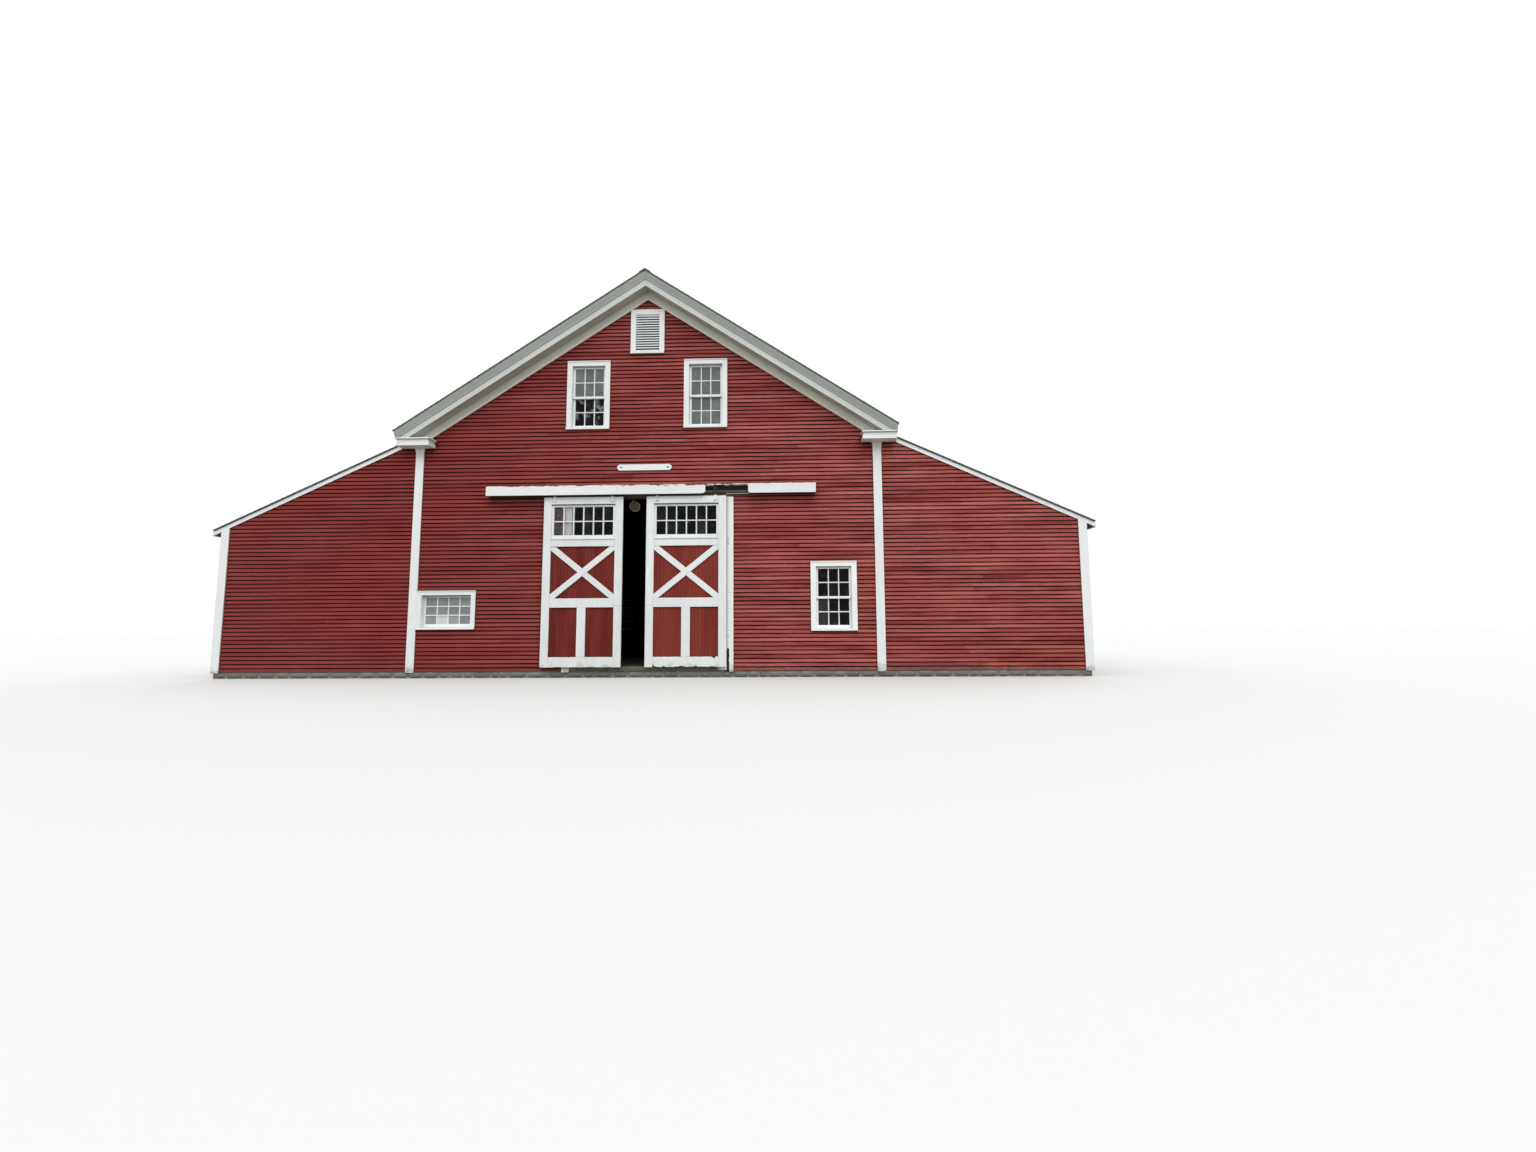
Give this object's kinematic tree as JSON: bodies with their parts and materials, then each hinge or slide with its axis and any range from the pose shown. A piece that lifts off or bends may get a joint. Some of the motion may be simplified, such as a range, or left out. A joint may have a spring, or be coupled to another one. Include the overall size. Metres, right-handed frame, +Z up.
{
  "type": "gabled barn with lean-to wings",
  "caption": "Hollow timber barn with a tall gabled hall, low wings, boxed cornice, sash windows, a louvred gable vent and a pair of sliding doors on an outside track.",
  "frame": {"origin": "on the ground, in the middle of the building's plan", "axes": "+X to the right seen from the front, +Y towards the back, +Z up; the front with the sliding doors faces -Y"},
  "size_m": [19.61, 14.16, 9.1049],
  "materials": {
    "red_clapboard": "weathered red paint on narrow clapboards",
    "red_boards": "red paint on upright boards",
    "white_trim": "weathered white paint on boards",
    "roof_shingle": "weathered grey shingles",
    "field_stone": "rough grey field stone",
    "dark_timber": "old dark sawn timber",
    "floor_planks": "worn grey planks",
    "window_glass": "old window glass",
    "track_steel": "dark rusty steel",
    "lamp_metal": "grey-green enamel"
  },
  "bodies": {
    "barn": {"foundation": "field_stone", "floor_sleepers": "dark_timber", "barn_floor": "floor_planks", "front_wall_left": "red_clapboard", "front_wall_right": "red_clapboard", "front_gable_wall": "red_clapboard", "back_wall": "red_clapboard", "back_gable_wall": "red_clapboard", "wing_front_walls": "red_clapboard", "wing_back_walls": "red_clapboard", "left_side_wall": "red_clapboard", "right_side_wall": "red_clapboard", "post_frames": "dark_timber", "main_roof_left": "roof_shingle", "main_roof_right": "roof_shingle", "left_wing_roof": "roof_shingle", "right_wing_roof": "roof_shingle", "ridge_boards": "roof_shingle", "eave_fascias": "white_trim", "rake_fascia": "white_trim", "rake_crown": "white_trim", "rake_frieze": "white_trim", "cornice_returns": "white_trim", "corner_boards": "white_trim", "wing_corner_boards": "white_trim", "wing_rake_boards": "white_trim", "small_window": "white_trim", "lower_window": "white_trim", "upper_windows": "white_trim", "back_windows": "white_trim", "side_windows": "white_trim", "window_glass": "window_glass", "gable_vents": "white_trim", "sign_board": "white_trim", "door_casing": "white_trim", "threshold": "floor_planks", "track_rail": "track_steel", "track_cover": "white_trim", "lamp": "lamp_metal"},
    "left_door": {"left_door_boards": "red_boards", "left_door_frame": "white_trim", "left_door_sash": "white_trim", "left_door_glass": "window_glass", "left_door_hangers": "track_steel"},
    "right_door": {"right_door_boards": "red_boards", "right_door_frame": "white_trim", "right_door_sash": "white_trim", "right_door_glass": "window_glass", "right_door_hangers": "track_steel"}
  },
  "joints": [
    {"name": "left_door_slide", "type": "slide", "parent": "barn", "child": "left_door", "axis": [-1, 0, 0], "range_m": [-0.465, 1.29]},
    {"name": "right_door_slide", "type": "slide", "parent": "barn", "child": "right_door", "axis": [1, 0, 0], "range_m": [-0.045, 1.71]}
  ]
}
